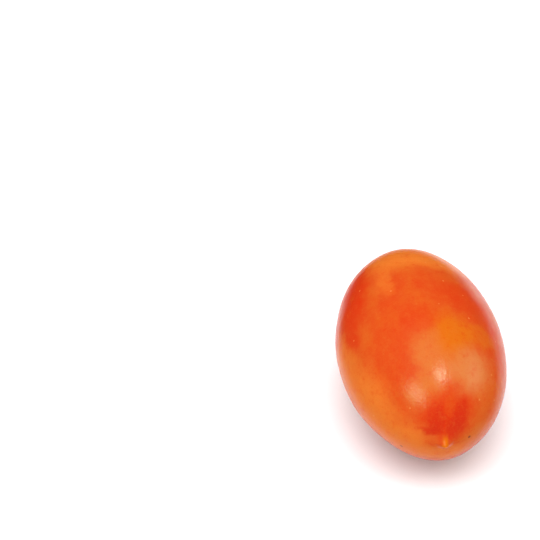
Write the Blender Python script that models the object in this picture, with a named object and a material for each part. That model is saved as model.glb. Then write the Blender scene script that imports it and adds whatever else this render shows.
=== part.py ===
"""A plum tomato as picked, lying on its side.

The fruit is one closed solid: the skin, the blossom point at -Y and the stem scar at +Y grew as one
piece. The origin is on the surface it rests on, under the middle of the fruit, with +Z up.
"""
import math

import bmesh
import bpy
from mathutils import Matrix

OBJECT_NAME = "tomato"

# The body, in metres
HALF_LENGTH = 0.03625
HALF_WIDTH = 0.025

# How pointed each end is: 1 is an ellipse, more is more pointed, less is blunter
TIP_POINT = 1.035
STEM_POINT = 0.83

# The cross-section is a little oval, three-lobed and four-lobed: how many lobes, how far each
# stands out as a share of the radius, and the angle of the first
LOBES = (
    (2, 0.043, math.radians(-54.6)),
    (3, 0.0085, math.radians(38.1)),
    (4, 0.015, math.radians(5.8)),
)

# The long axis is not straight: a bow that moves both ends one way, and a bend that moves them
# opposite ways; each crosses the straight axis part of the way along
BOW_SIDE = 0.0004
BOW_UP = 0.00015
BOW_CROSSING = 1 / 3
BEND_UP = -0.0003
BEND_CROSSING = 0.6
TIP_RAISE = math.radians(0.43)

# The blossom end's small point
NIPPLE_HEIGHT = 0.0012
NIPPLE_RADIUS = 0.0022

# The stem end: a shallow dimple between five low shoulders, with a corky scar in it
DIMPLE_DEPTH = 0.0024
DIMPLE_RADIUS = 0.0064
SHOULDER_COUNT = 5
SHOULDER_HEIGHT = 0.00025
SHOULDER_RADIUS = 0.0095
SHOULDER_SPREAD = 0.0038
SCAR_RADIUS = 0.0032
SCAR_EDGE = 0.0003
SCAR_HEIGHT = 0.0006
SCAR_PIT_RADIUS = 0.0014
SCAR_PIT_DEPTH = 0.0008

# The fruit's own weight presses this much of it flat where it rests
FLAT_DEPTH = 0.0005

# The mesh: segments round the long axis, rings along it, and how far the rings crowd to the ends
SEGMENTS = 64
RINGS = 54
RING_CROWDING = 0.55
SNAP_DISTANCE = 0.00012

SKIN_COLOUR = (0.80, 0.10, 0.016, 1.0)
SKIN_ROUGHNESS = 0.3


def hump(distance, radius):
    """A smooth hump: 1 at the middle, fading to nothing past its radius."""
    return math.exp(-(distance / radius) ** 2)


def step_down(distance, radius, softness):
    """1 inside the radius, 0 outside it, with a soft edge."""
    return 1 / (1 + math.exp((distance - radius) / softness))


def body_radius(polar, around):
    """The distance of the skin from the long axis, before the ends are shaped."""
    tip_share = 0.5 + 0.5 * math.cos(polar)
    point = TIP_POINT * tip_share + STEM_POINT * (1 - tip_share)
    lobes = sum(share * math.cos(count * (around - angle)) for count, share, angle in LOBES)
    return HALF_WIDTH * math.sin(polar) ** point * (1 + lobes)


def nipple_relief(radius):
    """How far the blossom point stands out along the axis."""
    return NIPPLE_HEIGHT * hump(radius, NIPPLE_RADIUS)


def stem_relief(radius, around):
    """How far the stem end stands out along the axis; the dimple makes it negative."""
    dimple = -DIMPLE_DEPTH * hump(radius, DIMPLE_RADIUS)
    ring = hump(radius - SHOULDER_RADIUS, SHOULDER_SPREAD)
    shoulders = SHOULDER_HEIGHT * ring * math.cos(SHOULDER_COUNT * around)
    scar = SCAR_HEIGHT * step_down(radius, SCAR_RADIUS, SCAR_EDGE)
    pit = -SCAR_PIT_DEPTH * hump(radius, SCAR_PIT_RADIUS)
    return dimple + shoulders + scar + pit


def skin_point(polar, around):
    """The skin's place for an angle from the blossom tip and an angle round the long axis."""
    radius = body_radius(polar, around)
    toward_tip = math.cos(polar)
    along = HALF_LENGTH * toward_tip
    if toward_tip > 0:
        along += nipple_relief(radius)
    else:
        along -= stem_relief(radius, around)
    bow = toward_tip ** 2 - BOW_CROSSING
    bend = toward_tip ** 3 - BEND_CROSSING * toward_tip
    side = radius * math.cos(around) + BOW_SIDE * bow
    up = radius * math.sin(around) + BOW_UP * bow + BEND_UP * bend
    return side, -along, up


def shape_fruit(mesh):
    """Move the points of a unit sphere onto the skin."""
    for vertex in mesh.verts:
        polar = math.acos(max(-1.0, min(1.0, vertex.co.z)))
        around = math.atan2(vertex.co.y, vertex.co.x)
        crowded = polar - RING_CROWDING * math.sin(2 * polar) / 2
        vertex.co = skin_point(crowded, around)
    tilt = Matrix.Rotation(-TIP_RAISE, 4, "X")
    bmesh.ops.transform(mesh, matrix=tilt, verts=mesh.verts)


def press_flat(mesh):
    """Cut the flat spot that the fruit rests on and close it with one plane face."""
    flat_height = min(vertex.co.z for vertex in mesh.verts) + FLAT_DEPTH
    everything = mesh.verts[:] + mesh.edges[:] + mesh.faces[:]
    bmesh.ops.bisect_plane(
        mesh,
        geom=everything,
        dist=SNAP_DISTANCE,
        plane_co=(0, 0, flat_height),
        plane_no=(0, 0, -1),
        clear_outer=True,
    )
    rim = [edge for edge in mesh.edges if edge.is_boundary]
    cap = bmesh.ops.contextual_create(mesh, geom=rim)["faces"]
    for vertex in {corner for face in cap for corner in face.verts}:
        vertex.co.z = flat_height
    bmesh.ops.recalc_face_normals(mesh, faces=mesh.faces)


def stand_on_origin(mesh):
    """Put the middle of the fruit's underside at the origin."""
    low = [min(vertex.co[axis] for vertex in mesh.verts) for axis in range(3)]
    high = [max(vertex.co[axis] for vertex in mesh.verts) for axis in range(3)]
    middle_x = (low[0] + high[0]) / 2
    middle_y = (low[1] + high[1]) / 2
    bmesh.ops.translate(mesh, vec=(-middle_x, -middle_y, -low[2]), verts=mesh.verts)


def make_skin():
    """The fruit's plain orange-red, waxy skin."""
    material = bpy.data.materials.new("tomato_skin")
    material.use_nodes = True
    shader = material.node_tree.nodes["Principled BSDF"]
    shader.inputs["Base Color"].default_value = SKIN_COLOUR
    shader.inputs["Roughness"].default_value = SKIN_ROUGHNESS
    shader.inputs["Metallic"].default_value = 0.0
    material.diffuse_color = SKIN_COLOUR
    return material


def make_fruit(collection):
    """Build the fruit as one closed solid."""
    mesh = bmesh.new()
    bmesh.ops.create_uvsphere(mesh, u_segments=SEGMENTS, v_segments=RINGS, radius=1.0)
    shape_fruit(mesh)
    press_flat(mesh)
    stand_on_origin(mesh)
    data = bpy.data.meshes.new(OBJECT_NAME)
    mesh.to_mesh(data)
    mesh.free()
    data.shade_smooth()
    data.materials.append(make_skin())
    fruit = bpy.data.objects.new(OBJECT_NAME, data)
    collection.objects.link(fruit)
    return fruit


def main():
    for old in list(bpy.data.objects):
        bpy.data.objects.remove(old)
    collection = bpy.data.collections.new("plum_tomato")
    bpy.context.scene.collection.children.link(collection)
    make_fruit(collection)


main()
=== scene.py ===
"""The looks of a plum tomato lying on its side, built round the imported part.

Lengths are in metres. The blossom point is at -Y, the stem scar at +Y, and +Z is up.
"""
import math

import bmesh
import bpy
import numpy as np
from mathutils import Matrix, Vector, noise


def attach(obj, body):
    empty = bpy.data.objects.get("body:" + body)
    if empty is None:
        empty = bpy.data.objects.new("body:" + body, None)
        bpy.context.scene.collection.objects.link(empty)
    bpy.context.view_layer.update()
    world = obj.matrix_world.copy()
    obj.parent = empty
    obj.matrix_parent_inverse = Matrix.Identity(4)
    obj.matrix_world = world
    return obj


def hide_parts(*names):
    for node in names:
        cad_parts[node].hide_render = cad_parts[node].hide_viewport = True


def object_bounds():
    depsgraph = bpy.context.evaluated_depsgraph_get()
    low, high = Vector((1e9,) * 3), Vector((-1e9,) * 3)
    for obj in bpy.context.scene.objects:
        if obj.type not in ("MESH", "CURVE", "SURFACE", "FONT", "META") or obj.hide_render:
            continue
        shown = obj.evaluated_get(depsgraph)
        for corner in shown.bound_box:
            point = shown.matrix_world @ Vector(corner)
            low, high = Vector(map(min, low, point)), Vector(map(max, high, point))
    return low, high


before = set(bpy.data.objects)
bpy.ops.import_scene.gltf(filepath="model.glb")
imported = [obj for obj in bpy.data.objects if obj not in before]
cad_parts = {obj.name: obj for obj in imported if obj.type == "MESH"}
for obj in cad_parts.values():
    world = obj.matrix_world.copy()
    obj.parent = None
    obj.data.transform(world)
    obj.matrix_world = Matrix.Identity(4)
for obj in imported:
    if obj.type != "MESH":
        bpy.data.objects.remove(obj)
cad_low, cad_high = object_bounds()
fruit_centre = Vector((0.0, 0.0, (cad_high.z - cad_low.z) / 2))

NODE = "tomato"

# The body, with the same values as the solid
HALF_LENGTH = 0.03625
HALF_WIDTH = 0.025
TIP_POINT = 1.035
STEM_POINT = 0.83
LOBES = (
    (2, 0.043, math.radians(-54.6)),
    (3, 0.0085, math.radians(38.1)),
    (4, 0.015, math.radians(5.8)),
)
BOW_SIDE = 0.0004
BOW_UP = 0.00015
BOW_CROSSING = 1 / 3
BEND_UP = -0.0003
BEND_CROSSING = 0.6
TIP_RAISE = math.radians(0.43)
FLAT_DEPTH = 0.0005

# The two ends, with the same values as the solid
NIPPLE_HEIGHT = 0.0012
NIPPLE_RADIUS = 0.0022
DIMPLE_DEPTH = 0.0024
DIMPLE_RADIUS = 0.0064
SHOULDER_COUNT = 5
SHOULDER_HEIGHT = 0.00025
SHOULDER_RADIUS = 0.0095
SHOULDER_SPREAD = 0.0038
SCAR_RADIUS = 0.0032
SCAR_HEIGHT = 0.0006
SCAR_EDGE = 0.0003
SCAR_PIT_RADIUS = 0.0014
SCAR_PIT_DEPTH = 0.0008

# Fine relief that the solid leaves out: the nub on the blossom point, the seam above it and the
# crease under it, the ridges on the scar, and slow waves of the skin (how many there are from the
# middle of the fruit to its skin, and how high they are)
NUB_HEIGHT = 0.0007
NUB_RADIUS = 0.0011
SEAM_HEIGHT = 0.0003
SEAM_HALF_WIDTH = 0.0007
SEAM_START = 0.0012
SEAM_LENGTH = 0.0042
CREASE_DEPTH = 0.0001
CREASE_RADIUS = 0.0026
CREASE_WIDTH = 0.0005
RIDGE_COUNT = 13
RIDGE_HEIGHT = 0.00012
RIDGE_RADIUS = 0.0023
RIDGE_SPREAD = 0.0007
WAVE_SIZES = ((2.0, 0.00016), (5.0, 0.00006))

# The fine mesh: segments round the long axis, rings along it, and how far the rings crowd to the ends
SEGMENTS = 256
RINGS = 220
RING_CROWDING = 0.55

# The camera looks down on the blossom end from the front, a little from the left. The fruit's middle
# and half its width are given in pixels of the photograph's frame
CAMERA_AZIMUTH = math.radians(-7.08)
CAMERA_ELEVATION = math.radians(42.5)
CAMERA_DISTANCE = 0.6
FRAME_PIXELS = 540
FRUIT_PIXEL = (421.2, 358.1)
HALF_WIDTH_PIXELS = 84.0
SENSOR_MM = 36.0
CLIP_START = 0.01

# Past this many softnesses from its edge, a soft step no longer changes
STEP_LIMIT = 40


def hump(distance, radius):
    """A smooth hump: 1 at the middle, fading to nothing past its radius."""
    return np.exp(-(distance / radius) ** 2)


def step_down(distance, radius, softness):
    """1 inside the radius, 0 outside it, with a soft edge."""
    past_edge = np.clip((distance - radius) / softness, -STEP_LIMIT, STEP_LIMIT)
    return 1 / (1 + np.exp(past_edge))


def body_radius(polar, around):
    """The distance of the skin from the long axis, before the ends are shaped."""
    tip_share = 0.5 + 0.5 * np.cos(polar)
    point = TIP_POINT * tip_share + STEM_POINT * (1 - tip_share)
    lobes = sum(share * np.cos(count * (around - angle)) for count, share, angle in LOBES)
    return HALF_WIDTH * np.sin(polar) ** point * (1 + lobes)


def tip_relief(radius, around):
    """How far the blossom end stands out: its point, the seam above it and the crease round it."""
    side = radius * np.cos(around)
    up = radius * np.sin(around)
    nipple = NIPPLE_HEIGHT * hump(radius, NIPPLE_RADIUS) + NUB_HEIGHT * hump(radius, NUB_RADIUS)
    seam_fade = step_down(np.abs(up - SEAM_START - SEAM_LENGTH / 2), SEAM_LENGTH / 2, SEAM_HALF_WIDTH)
    seam = SEAM_HEIGHT * hump(side, SEAM_HALF_WIDTH) * seam_fade
    crease = -CREASE_DEPTH * hump(radius - CREASE_RADIUS, CREASE_WIDTH) * step_down(up, 0, CREASE_WIDTH)
    return nipple + seam + crease


def stem_relief(radius, around):
    """How far the stem end stands out: a dimple between low shoulders, and the scar in it."""
    dimple = -DIMPLE_DEPTH * hump(radius, DIMPLE_RADIUS)
    ring = hump(radius - SHOULDER_RADIUS, SHOULDER_SPREAD)
    shoulders = SHOULDER_HEIGHT * ring * np.cos(SHOULDER_COUNT * around)
    scar = SCAR_HEIGHT * step_down(radius, SCAR_RADIUS, SCAR_EDGE)
    pit = -SCAR_PIT_DEPTH * hump(radius, SCAR_PIT_RADIUS)
    ridge_ring = hump(radius - RIDGE_RADIUS, RIDGE_SPREAD)
    ridges = RIDGE_HEIGHT * ridge_ring * np.cos(RIDGE_COUNT * around)
    return dimple + shoulders + scar + pit + ridges


def skin_points(polar, around):
    """The skin's places for angles from the blossom tip and angles round the long axis."""
    radius = body_radius(polar, around)
    toward_tip = np.cos(polar)
    relief = np.where(toward_tip > 0, tip_relief(radius, around), -stem_relief(radius, around))
    along = HALF_LENGTH * toward_tip + relief
    bow = toward_tip ** 2 - BOW_CROSSING
    bend = toward_tip ** 3 - BEND_CROSSING * toward_tip
    side = radius * np.cos(around) + BOW_SIDE * bow
    up = radius * np.sin(around) + BOW_UP * bow + BEND_UP * bend
    cosine, sine = math.cos(TIP_RAISE), math.sin(TIP_RAISE)
    return np.stack([side, -along * cosine + up * sine, along * sine + up * cosine], axis=-1)


def waves(directions):
    """How far the skin swells in slow, shallow waves, for each direction from the middle."""
    swell = np.zeros(len(directions))
    for size, height in WAVE_SIZES:
        swell += [height * noise.noise(Vector(direction) * size) for direction in directions]
    return swell


def fruit_mesh():
    """The fruit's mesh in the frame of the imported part, and the middle of the fruit in it."""
    sphere = bmesh.new()
    bmesh.ops.create_uvsphere(sphere, u_segments=SEGMENTS, v_segments=RINGS, radius=1.0)
    data = bpy.data.meshes.new("tomato_skin")
    sphere.to_mesh(data)
    sphere.free()
    unit = np.empty(len(data.vertices) * 3)
    data.vertices.foreach_get("co", unit)
    unit = unit.reshape(-1, 3)
    polar = np.arccos(np.clip(unit[:, 2], -1, 1))
    around = np.arctan2(unit[:, 1], unit[:, 0])
    crowded = polar - RING_CROWDING * np.sin(2 * polar) / 2
    points = skin_points(crowded, around)
    flat_height = points[:, 2].min() + FLAT_DEPTH
    outward = points / np.linalg.norm(points, axis=1, keepdims=True)
    points += outward * waves(outward)[:, None]
    points[:, 2] = np.maximum(points[:, 2], flat_height)
    low, high = points.min(axis=0), points.max(axis=0)
    cad_middle = (cad_low + cad_high) / 2
    middle = (low + high) / 2
    shift = np.array([cad_middle.x - middle[0], cad_middle.y - middle[1], -low[2]])
    data.vertices.foreach_set("co", (points + shift).ravel())
    data.shade_smooth()
    data.update()
    return data, Vector(shift)


def make_fruit():
    """The visible fruit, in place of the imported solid."""
    data, middle = fruit_mesh()
    data.materials.append(skin_material(middle))
    fruit = bpy.data.objects.new("tomato_skin", data)
    bpy.context.scene.collection.objects.link(fruit)
    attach(fruit, "root")
    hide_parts(NODE)


# The middle value of a noise
NOISE_MIDDLE = 0.5


class Graph:
    """Adds nodes to a tree and links them, so that a material reads as a list of steps."""

    MIX_FACTOR, MIX_A, MIX_B, MIX_RESULT = 0, 6, 7, 2
    VALUE_RESULTS = ("LENGTH", "DISTANCE", "DOT_PRODUCT")

    def __init__(self, tree):
        self.tree = tree

    def feed(self, socket, value):
        """Link a socket to another one, or set its number, vector or colour."""
        if isinstance(value, bpy.types.NodeSocket):
            self.tree.links.new(value, socket)
        else:
            socket.default_value = value

    def node(self, kind, settings=None, **inputs):
        """A new node with these settings and inputs."""
        new = self.tree.nodes.new(kind)
        for name, value in (settings or {}).items():
            setattr(new, name, value)
        for name, value in inputs.items():
            self.feed(new.inputs[name.replace("_", " ")], value)
        return new

    def math(self, operation, *values):
        """The result of a sum on numbers."""
        new = self.node("ShaderNodeMath", {"operation": operation})
        for socket, value in zip(new.inputs, values):
            self.feed(socket, value)
        return new.outputs[0]

    def vector(self, operation, *values):
        """The result of a sum on vectors."""
        new = self.node("ShaderNodeVectorMath", {"operation": operation})
        for socket, value in zip(new.inputs, values):
            self.feed(socket, value)
        return new.outputs["Value" if operation in self.VALUE_RESULTS else "Vector"]

    def noise(self, place, size, detail=2.0, roughness=0.5, output="Fac"):
        """Noise from 0 to 1 whose features are about that size."""
        new = self.node(
            "ShaderNodeTexNoise", Vector=place, Scale=1 / size, Detail=detail, Roughness=roughness
        )
        return new.outputs[output]

    def fade(self, value, start, end, low=0.0, high=1.0):
        """A smooth change from low to high as the value goes from start to end."""
        new = self.node("ShaderNodeMapRange", {"interpolation_type": "SMOOTHSTEP"})
        for socket, number in zip(new.inputs, (value, start, end, low, high)):
            self.feed(socket, number)
        return new.outputs[0]

    def spot(self, distance, radius, edge, high=1.0):
        """High within a radius and 0 outside it; edge is where it starts and ends, in radii."""
        outer, inner = edge
        return self.fade(distance, radius * outer, radius * inner, 0.0, high)

    def mix(self, factor, first, second):
        """The first colour, with that share of the second mixed in."""
        new = self.node("ShaderNodeMix", {"data_type": "RGBA"})
        self.feed(new.inputs[self.MIX_FACTOR], factor)
        self.feed(new.inputs[self.MIX_A], first)
        self.feed(new.inputs[self.MIX_B], second)
        return new.outputs[self.MIX_RESULT]


def new_material(name):
    """A material with its graph and its shader."""
    material = bpy.data.materials.new(name)
    material.use_nodes = True
    graph = Graph(material.node_tree)
    return material, graph, graph.tree.nodes["Principled BSDF"]


# Skin colours, linear; the pale orange, light orange and peach also serve as painted highlights and
# painted light
ORANGE_RED = (0.475, 0.050, 0.006, 1.0)
RED = (0.475, 0.025, 0.002, 1.0)
DEEP_RED = (0.44, 0.017, 0.003, 1.0)
ORANGE = (0.48, 0.086, 0.008, 1.0)
YELLOW_ORANGE = (0.49, 0.106, 0.003, 1.0)
# Pale orange: the skin's own pale patches and flecks, and also painted highlight under the key and left
# glints
PALE_ORANGE_AND_GLINT = (0.48, 0.120, 0.018, 1.0)
# Light orange: pale patches of skin, and also painted light on the top and back of the fruit
LIGHT_ORANGE_AND_TOP_LIGHT = (0.57, 0.140, 0.016, 1.0)
# Peach: painted highlight under the right glint, half of that glint; the right softbox gives the rest
PEACH_GLINT = (0.48, 0.140, 0.034, 1.0)
POINT_ORANGE = (0.51, 0.108, 0.002, 1.0)
SPECKLE_PALE = (0.58, 0.20, 0.05, 1.0)
SPECK_BROWN = (0.10, 0.020, 0.010, 1.0)

# Stem end colours, linear
SHOULDER_YELLOW = (0.50, 0.150, 0.012, 1.0)
SHOULDER_GREEN = (0.30, 0.170, 0.018, 1.0)
CORK_BROWN = (0.17, 0.080, 0.032, 1.0)
CORK_PALE = (0.40, 0.250, 0.115, 1.0)
PIT_BROWN = (0.045, 0.020, 0.009, 1.0)

# The skin's slow change from orange-red to orange: its size, how many finer layers of noise it has,
# the share of it that comes from the streaks, and where it starts and ends
BLEND_SIZE = 0.014
BLEND_DETAIL = 3.0
BLEND_STREAKS = 0.4
BLEND_RANGE = (0.44, 0.74)

# Streaks that run from end to end: how wide they are on a circle of radius 1 round the fruit, and
# how far the pattern moves for each metre along the fruit, in radii of that circle
STREAK_SIZE = 0.2
STREAK_DETAIL = 4.0
STREAK_DRIFT = 14.0

# Each patch: its colour, how far toward the tip it lies (1 is the blossom end, -1 the stem end),
# its angle round the long axis (90 is the top), its half-sizes across, along and up, and its share
PATCHES = (
    # Painted light: lighter skin on the top and back, standing in for light falling there
    (LIGHT_ORANGE_AND_TOP_LIGHT, -0.60, 100, (0.011, 0.008, 0.009), 0.9),
    (LIGHT_ORANGE_AND_TOP_LIGHT, -0.53, 72, (0.010, 0.006, 0.009), 0.9),
    (LIGHT_ORANGE_AND_TOP_LIGHT, 0.20, 172, (0.006, 0.008, 0.007), 0.8),
    (LIGHT_ORANGE_AND_TOP_LIGHT, 0.60, 172, (0.007, 0.010, 0.009), 0.9),
    (YELLOW_ORANGE, 0.40, 76, (0.006, 0.006, 0.006), 0.9),
    (YELLOW_ORANGE, 0.34, 48, (0.006, 0.003, 0.006), 0.5),
    (YELLOW_ORANGE, 0.54, 80, (0.003, 0.006, 0.005), 0.8),
    (PALE_ORANGE_AND_GLINT, 0.58, 98, (0.004, 0.009, 0.006), 0.8),
    # These two pale patches are painted highlight: paler skin under the key and left glints
    (PALE_ORANGE_AND_GLINT, 0.70, 93, (0.0045, 0.005, 0.005), 0.55),
    (PALE_ORANGE_AND_GLINT, 0.81, 114, (0.0045, 0.004, 0.0045), 0.85),
    # Painted highlight: this peach patch stands in for half of the right glint
    (PEACH_GLINT, 0.66, 58, (0.0065, 0.006, 0.0065), 1.0),
    (ORANGE, 0.75, 12, (0.008, 0.010, 0.009), 0.7),
    (LIGHT_ORANGE_AND_TOP_LIGHT, 0.87, -168, (0.008, 0.008, 0.008), 0.9),
    (RED, -0.45, 140, (0.005, 0.006, 0.006), 1.0),
    (RED, -0.22, 142, (0.005, 0.008, 0.005), 1.0),
    (RED, 0.10, 148, (0.0025, 0.005, 0.003), 0.8),
    # Painted light on the top, as above
    (LIGHT_ORANGE_AND_TOP_LIGHT, -0.24, 114, (0.0025, 0.005, 0.004), 0.5),
    (RED, -0.02, 60, (0.008, 0.006, 0.008), 0.55),
    (RED, 0.15, 36, (0.004, 0.004, 0.005), 0.4),
    (RED, 0.28, 98, (0.005, 0.004, 0.006), 0.5),
    (RED, 0.90, 100, (0.005, 0.004, 0.004), 0.6),
    (RED, 0.88, 58, (0.005, 0.004, 0.005), 0.5),
    (RED, 0.965, 92, (0.003, 0.004, 0.0035), 0.8),
    (DEEP_RED, 0.945, 106, (0.0022, 0.005, 0.0034), 0.8),
    (DEEP_RED, 0.920, 57, (0.0020, 0.005, 0.0036), 0.9),
    (DEEP_RED, 0.965, 132, (0.0026, 0.004, 0.0014), 0.8),
    (DEEP_RED, 0.968, 62, (0.0022, 0.004, 0.0022), 0.8),
    (PALE_ORANGE_AND_GLINT, 0.92, -14, (0.004, 0.004, 0.0045), 0.6),
    (LIGHT_ORANGE_AND_TOP_LIGHT, 0.97, -95, (0.008, 0.004, 0.004), 0.8),
    (ORANGE, 0.88, 80, (0.0016, 0.003, 0.0024), 0.3),
    (RED, 0.25, -28, (0.007, 0.013, 0.007), 0.6),
    (PALE_ORANGE_AND_GLINT, -0.35, -8, (0.006, 0.009, 0.007), 0.7),
    (RED, -0.60, -35, (0.007, 0.007, 0.006), 0.6),
    (PALE_ORANGE_AND_GLINT, 0.15, -82, (0.009, 0.014, 0.008), 0.7),
    (RED, 0.30, -140, (0.006, 0.011, 0.006), 0.6),
    (YELLOW_ORANGE, -0.45, -125, (0.008, 0.010, 0.007), 0.7),
    (RED, -0.30, 178, (0.005, 0.009, 0.006), 0.6),
)

# A patch starts and is full at these distances from its middle, in half-sizes, and its outline is
# moved about by up to half the warp
PATCH_START = 1.7
PATCH_FULL = 0.5
PATCH_WARP = 0.007
PATCH_WARP_SIZE = 0.006
PATCH_WARP_DETAIL = 4.0
PATCH_WARP_ROUGHNESS = 0.6

# Mottling, from coarse to fine: its size, and the most red and the most orange that it brings. The
# skin is plain at one value of the noise, and reddest and most orange at two others
MOTTLES = (
    (0.0028, 0.38, 0.24),
    (0.0009, 0.25, 0.12),
    (0.0004, 0.35, 0.25),
)
MOTTLE_DETAIL = 4.0
MOTTLE_ROUGHNESS = 0.7
MOTTLE_PLAIN = 0.5
MOTTLE_REDDEST = 0.75
MOTTLE_MOST_ORANGE = 0.25

# Small dark specks, placed as the patches are, with the radius of each. Here and below, an edge is
# where a spot starts and where it is full, in radii
SPECKS = (
    (0.844, -152, 0.00048),
    (0.948, -5, 0.00045),
    (0.30, -70, 0.0003),
    (-0.55, 20, 0.0004),
)
SPECK_EDGE = (1.5, 0.5)
SPECK_STRENGTH = 0.85

# Pale dots: how far apart they could be, their radius as a share of that, their edge, the share
# left out, and how pale they are
SPECKLE_SPACING = 0.0042
SPECKLE_RADIUS = 0.065
SPECKLE_EDGE = (1.6, 0.6)
SPECKLE_SKIPPED = 0.6
SPECKLE_STRENGTH = 0.6

# The orange point at the blossom end and the streak that rises from it
POINT_RADIUS = 0.0010
POINT_EDGE = (1.3, 0.7)
POINT_STREAK_HALF_WIDTH = 0.0007
POINT_STREAK_EDGE = (1.6, 0.4)
POINT_STREAK_TOP = 0.0038
POINT_STREAK_TOP_EDGE = (1.0, 0.3)

# The stem end: the yellow on its shoulders, the green next to the scar, and the rays in both
SHOULDER_TINT_RADIUS = 0.017
GREEN_TINT_RADIUS = 0.0065
TINT_STRENGTH = 0.8
RAY_SIZE = 0.22
RAY_DETAIL = 3.0
RAY_REACH = 0.006

# The scar's outline wanders with the rays; its cork is a grain of two browns, darker in some rays
SCAR_WANDER = 0.0016
SCAR_OUTLINE = (1.1, 0.95)
CORK_GRAIN_RANGE = (0.35, 0.65)
CORK_RAY_RANGE = (0.5, 0.3)
CORK_RAY_STRENGTH = 0.6
CORK_DETAIL = 4.0
CORK_GRAIN_ROUGHNESS = 0.6
PIT_EDGE = (1.3, 0.4)

# Relief too fine for the mesh: the sizes and heights of the skin's peel texture and of the cork
PEEL = ((0.0016, 0.00004), (0.0006, 0.00006), (0.0004, 0.000016))
CORK_SIZE = 0.0006
CORK_HEIGHT = 0.00025

# The surface: a waxy skin that lets a little light through, and a dry scar
SKIN_ROUGHNESS = 0.22
CORK_ROUGHNESS = 0.85
SKIN_IOR = 1.16
SUBSURFACE = 0.15
SUBSURFACE_RADIUS = (1.0, 0.25, 0.08)
SUBSURFACE_SCALE = 0.002


def fruit_place(along, around_degrees, middle):
    """The place of the skin at a share along the fruit and an angle round it."""
    polar = np.array([math.acos(along)])
    around = np.array([math.radians(around_degrees)])
    return Vector(skin_points(polar, around)[0]) + middle


def across_axis(graph, place, end):
    """Which way a place lies from the long axis through one end, and how far."""
    offset = graph.vector("SUBTRACT", place, tuple(end))
    across = graph.vector("MULTIPLY", offset, (1.0, 0.0, 1.0))
    return graph.vector("NORMALIZE", across), graph.vector("LENGTH", across)


def blend(graph, place, turn):
    """The skin's slow change from orange-red to orange, partly in streaks from end to end."""
    drift = graph.vector("MULTIPLY", place, (0.0, STREAK_DRIFT, 0.0))
    streak = graph.noise(graph.vector("ADD", turn, drift), STREAK_SIZE, STREAK_DETAIL)
    slow = graph.noise(place, BLEND_SIZE, BLEND_DETAIL)
    both = graph.mix(BLEND_STREAKS, slow, streak)
    return graph.mix(graph.fade(both, *BLEND_RANGE), ORANGE_RED, ORANGE)


def patches(graph, place, middle, colour):
    """The colour with the redder, yellower and paler patches laid over it; some paler patches are
    painted highlights and painted light on the top.
    """
    warp = graph.noise(place, PATCH_WARP_SIZE, PATCH_WARP_DETAIL, PATCH_WARP_ROUGHNESS, "Color")
    centred = graph.vector("SUBTRACT", warp, (NOISE_MIDDLE,) * 3)
    warped = graph.vector("ADD", place, graph.vector("MULTIPLY", centred, (PATCH_WARP,) * 3))
    for patch, along, around, size, share in PATCHES:
        offset = graph.vector("SUBTRACT", warped, tuple(fruit_place(along, around, middle)))
        reach = graph.vector("LENGTH", graph.vector("DIVIDE", offset, size))
        colour = graph.mix(graph.fade(reach, PATCH_START, PATCH_FULL, 0.0, share), colour, patch)
    return colour


def mottling(graph, place, colour):
    """The colour with coarse and fine flecks of red and orange."""
    for size, red_share, orange_share in MOTTLES:
        fleck = graph.noise(place, size, MOTTLE_DETAIL, MOTTLE_ROUGHNESS)
        redder = graph.fade(fleck, MOTTLE_PLAIN, MOTTLE_REDDEST, 0.0, red_share)
        colour = graph.mix(redder, colour, RED)
        yellower = graph.fade(fleck, MOTTLE_PLAIN, MOTTLE_MOST_ORANGE, 0.0, orange_share)
        colour = graph.mix(yellower, colour, PALE_ORANGE_AND_GLINT)
    return colour


def dots(graph, place, middle, colour):
    """The colour with its few pale dots and dark specks."""
    cells = graph.node("ShaderNodeTexVoronoi", Vector=place, Scale=1 / SPECKLE_SPACING)
    near = graph.spot(cells.outputs["Distance"], SPECKLE_RADIUS, SPECKLE_EDGE)
    draw = graph.node("ShaderNodeSeparateColor", Color=cells.outputs["Color"]).outputs["Red"]
    chosen = graph.math("GREATER_THAN", draw, SPECKLE_SKIPPED)
    share = graph.math("MULTIPLY", graph.math("MULTIPLY", near, chosen), SPECKLE_STRENGTH)
    colour = graph.mix(share, colour, SPECKLE_PALE)
    for along, around, radius in SPECKS:
        reach = graph.vector("DISTANCE", place, tuple(fruit_place(along, around, middle)))
        colour = graph.mix(graph.spot(reach, radius, SPECK_EDGE, SPECK_STRENGTH), colour, SPECK_BROWN)
    return colour


def blossom_point(graph, place, tip, colour):
    """The colour with the orange point at the blossom end and the streak above it."""
    offset = graph.node("ShaderNodeSeparateXYZ", Vector=graph.vector("SUBTRACT", place, tuple(tip)))
    side = graph.math("ABSOLUTE", offset.outputs["X"])
    distance = across_axis(graph, place, tip)[1]
    point = graph.spot(distance, POINT_RADIUS, POINT_EDGE)
    near = graph.spot(side, POINT_STREAK_HALF_WIDTH, POINT_STREAK_EDGE)
    rising = graph.spot(offset.outputs["Z"], POINT_STREAK_TOP, POINT_STREAK_TOP_EDGE)
    above = graph.fade(offset.outputs["Z"], -POINT_RADIUS, 0.0)
    streak = graph.math("MULTIPLY", graph.math("MULTIPLY", near, rising), above)
    at_tip = graph.math("LESS_THAN", offset.outputs["Y"], HALF_LENGTH)
    share = graph.math("MULTIPLY", graph.math("MAXIMUM", point, streak), at_tip)
    return graph.mix(share, colour, POINT_ORANGE)


def cork(graph, place, rays, distance):
    """The scar's colour: two browns in a fine grain, and a dark pit."""
    grain = graph.noise(place, CORK_SIZE, CORK_DETAIL, CORK_GRAIN_ROUGHNESS)
    colour = graph.mix(graph.fade(grain, *CORK_GRAIN_RANGE), CORK_BROWN, CORK_PALE)
    darker = graph.fade(rays, *CORK_RAY_RANGE, 0.0, CORK_RAY_STRENGTH)
    colour = graph.mix(darker, colour, CORK_BROWN)
    return graph.mix(graph.spot(distance, SCAR_PIT_RADIUS, PIT_EDGE), colour, PIT_BROWN)


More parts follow.
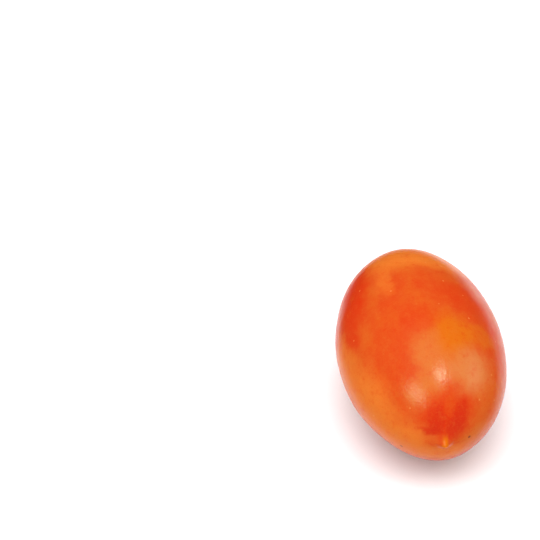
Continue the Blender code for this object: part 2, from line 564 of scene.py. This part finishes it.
def stem_end(graph, place, stem, colour):
    """The colour with the stem end's tints and scar laid over it, and how much of a place is scar."""
    turn, distance = across_axis(graph, place, stem)
    offset = graph.node("ShaderNodeSeparateXYZ", Vector=graph.vector("SUBTRACT", place, tuple(stem)))
    at_stem = graph.math("GREATER_THAN", offset.outputs["Y"], -HALF_LENGTH)
    rays = graph.noise(turn, RAY_SIZE, RAY_DETAIL)
    ragged = graph.math("MULTIPLY_ADD", rays, RAY_REACH, distance)
    yellow_end = SHOULDER_TINT_RADIUS + RAY_REACH / 2
    yellow = graph.fade(ragged, yellow_end, RAY_REACH, 0.0, TINT_STRENGTH)
    colour = graph.mix(graph.math("MULTIPLY", yellow, at_stem), colour, SHOULDER_YELLOW)
    green_end = GREEN_TINT_RADIUS + RAY_REACH / 2
    green = graph.fade(ragged, green_end, SCAR_RADIUS + RAY_REACH / 2, 0.0, TINT_STRENGTH)
    colour = graph.mix(graph.math("MULTIPLY", green, at_stem), colour, SHOULDER_GREEN)
    wander = graph.math("SUBTRACT", rays, NOISE_MIDDLE)
    outline = graph.math("MULTIPLY_ADD", wander, SCAR_WANDER, distance)
    scar = graph.math("MULTIPLY", graph.spot(outline, SCAR_RADIUS, SCAR_OUTLINE), at_stem)
    return graph.mix(scar, colour, cork(graph, place, rays, distance)), scar


def relief(graph, place, scar):
    """The skin's fine peel texture, and the scar's coarser one."""
    height = graph.math("MULTIPLY", graph.noise(place, CORK_SIZE, CORK_DETAIL), CORK_HEIGHT)
    height = graph.math("MULTIPLY", height, scar)
    for size, rise in PEEL:
        height = graph.math("MULTIPLY_ADD", graph.noise(place, size), rise, height)
    return graph.node("ShaderNodeBump", Height=height, Strength=1.0, Distance=1.0).outputs["Normal"]


def skin_material(middle):
    """Waxy tomato skin, with a dry, corky scar at the stem end."""
    material, graph, shader = new_material("tomato_skin")
    place = graph.node("ShaderNodeTexCoord").outputs["Object"]
    tip = fruit_place(1.0, 0.0, middle)
    stem = fruit_place(-1.0, 0.0, middle)
    colour = blend(graph, place, across_axis(graph, place, middle)[0])
    colour = patches(graph, place, middle, colour)
    colour = mottling(graph, place, colour)
    colour = dots(graph, place, middle, colour)
    colour = blossom_point(graph, place, tip, colour)
    colour, scar = stem_end(graph, place, stem, colour)
    graph.feed(shader.inputs["Base Color"], colour)
    graph.feed(shader.inputs["Normal"], relief(graph, place, scar))
    graph.feed(shader.inputs["Roughness"], graph.fade(scar, 0.0, 1.0, SKIN_ROUGHNESS, CORK_ROUGHNESS))
    graph.feed(shader.inputs["IOR"], SKIN_IOR)
    graph.feed(shader.inputs["Subsurface Weight"], SUBSURFACE)
    graph.feed(shader.inputs["Subsurface Radius"], SUBSURFACE_RADIUS)
    graph.feed(shader.inputs["Subsurface Scale"], SUBSURFACE_SCALE)
    return material


# The floor is a plain pale oval, longer toward the back right, that fades into the white surround
# round its edge; where it is wider, the fruit's side mirrors it as a pale rim. The fade starts at
# this share of the way to the edge
FLOOR_HALF_SIZES = (0.131, 0.087, 1.0)
FLOOR_TURN = math.radians(45)
FLOOR_FADE_START = 0.71
FLOOR_MIDDLE = (0.037, 0.057, 0.0)
FLOOR_COLOUR = (0.805, 0.78, 0.79, 1.0)
FLOOR_ROUGHNESS = 0.9
FLOOR_SEGMENTS = 128


def make_floor():
    """A plain pale surface under the fruit."""
    material, graph, shader = new_material("floor")
    graph.feed(shader.inputs["Base Color"], FLOOR_COLOUR)
    graph.feed(shader.inputs["Roughness"], FLOOR_ROUGHNESS)
    place = graph.node("ShaderNodeTexCoord").outputs["Object"]
    reach = graph.vector("LENGTH", graph.vector("DIVIDE", place, FLOOR_HALF_SIZES))
    graph.feed(shader.inputs["Alpha"], graph.fade(reach, 1.0, FLOOR_FADE_START))
    disc = bmesh.new()
    bmesh.ops.create_circle(disc, cap_ends=True, segments=FLOOR_SEGMENTS, radius=1.0)
    bmesh.ops.scale(disc, vec=FLOOR_HALF_SIZES, verts=disc.verts)
    data = bpy.data.meshes.new("floor")
    disc.to_mesh(data)
    disc.free()
    data.materials.append(material)
    floor = bpy.data.objects.new("floor", data)
    floor.location = FLOOR_MIDDLE
    floor.rotation_euler.z = FLOOR_TURN
    bpy.context.scene.collection.objects.link(floor)


def direction(azimuth, elevation):
    """The unit vector toward an azimuth (0 is -Y, positive to +X) and an elevation, in degrees."""
    a, e = math.radians(azimuth), math.radians(elevation)
    return Vector((math.sin(a) * math.cos(e), -math.cos(a) * math.cos(e), math.sin(e)))


# Each soft light: azimuth and elevation in degrees, distance, width, height and power in watts
SOFTBOXES = {
    "key": (32, 54.5, 1.2, 0.42, 0.20, 22.0),
    "left": (-35.5, 30.5, 1.2, 0.50, 0.32, 15.5),
    "right": (83, 16, 1.2, 0.42, 0.34, 3.2),
}

# A slightly green light, so that its glints on the red skin look orange and not pink
SOFTBOX_COLOUR = (0.72, 1.0, 0.75)

# The surround is brightest high above the front left; it is dim near the horizon and even below it
BRIGHT_AZIMUTH = -25
BRIGHT_ELEVATION = 73
BRIGHT_STRENGTH = 6.3
BRIGHT_FOCUS = 8.0
HORIZON_STRENGTH = 0.8
GROUND_STRENGTH = 1.5


def make_surround():
    """A white surround that lights the fruit but isn't mirrored in its skin."""
    world = bpy.data.worlds.new("surround")
    world.use_nodes = True
    graph = Graph(world.node_tree)
    toward = graph.node("ShaderNodeTexCoord").outputs["Generated"]
    facing = graph.vector("DOT_PRODUCT", toward, direction(BRIGHT_AZIMUTH, BRIGHT_ELEVATION))
    focus = graph.math("POWER", graph.math("MAXIMUM", facing, 0.0), BRIGHT_FOCUS)
    sky = graph.math("MULTIPLY_ADD", focus, BRIGHT_STRENGTH - HORIZON_STRENGTH, HORIZON_STRENGTH)
    height = graph.node("ShaderNodeSeparateXYZ", Vector=toward).outputs["Z"]
    ground = graph.math("MULTIPLY", graph.math("LESS_THAN", height, 0.0), GROUND_STRENGTH)
    background = graph.tree.nodes["Background"]
    graph.feed(background.inputs["Color"], (1.0, 1.0, 1.0, 1.0))
    graph.feed(background.inputs["Strength"], graph.math("MAXIMUM", sky, ground))
    world.cycles_visibility.glossy = False
    bpy.context.scene.world = world


def make_lights():
    """Soft boxes that give the skin its highlights; the surround lights it."""
    for name, (azimuth, elevation, distance, width, height, power) in SOFTBOXES.items():
        data = bpy.data.lights.new(name, "AREA")
        data.shape = "RECTANGLE"
        data.size = width
        data.size_y = height
        data.energy = power
        data.color = SOFTBOX_COLOUR
        light = bpy.data.objects.new(name, data)
        toward = direction(azimuth, elevation)
        light.location = fruit_centre + toward * distance
        light.rotation_euler = toward.to_track_quat("Z", "Y").to_euler()
        light.visible_camera = False
        light.visible_diffuse = False
        bpy.context.scene.collection.objects.link(light)


def make_camera():
    """The camera at the photograph's angle, with the fruit at its place in the frame."""
    back = direction(math.degrees(CAMERA_AZIMUTH), math.degrees(CAMERA_ELEVATION))
    right = Vector((math.cos(CAMERA_AZIMUTH), math.sin(CAMERA_AZIMUTH), 0.0))
    up = back.cross(right)
    focal_pixels = HALF_WIDTH_PIXELS * CAMERA_DISTANCE / HALF_WIDTH
    metres_per_pixel = CAMERA_DISTANCE / focal_pixels
    aside = (FRUIT_PIXEL[0] - FRAME_PIXELS / 2) * metres_per_pixel
    below = (FRUIT_PIXEL[1] - FRAME_PIXELS / 2) * metres_per_pixel
    data = bpy.data.cameras.new("camera")
    data.sensor_width = SENSOR_MM
    data.lens = focal_pixels / FRAME_PIXELS * SENSOR_MM
    data.clip_start = CLIP_START
    camera = bpy.data.objects.new("camera", data)
    place = fruit_centre - right * aside + up * below + back * CAMERA_DISTANCE
    camera.matrix_world = Matrix.Translation(place) @ Matrix((right, up, back)).transposed().to_4x4()
    bpy.context.scene.collection.objects.link(camera)
    bpy.context.scene.camera = camera


def main():
    """Build the scene: the camera, the fruit, and what is round it."""
    make_camera()
    make_fruit()
    make_floor()
    make_lights()
    make_surround()
    bpy.context.scene.view_settings.view_transform = "Standard"


main()
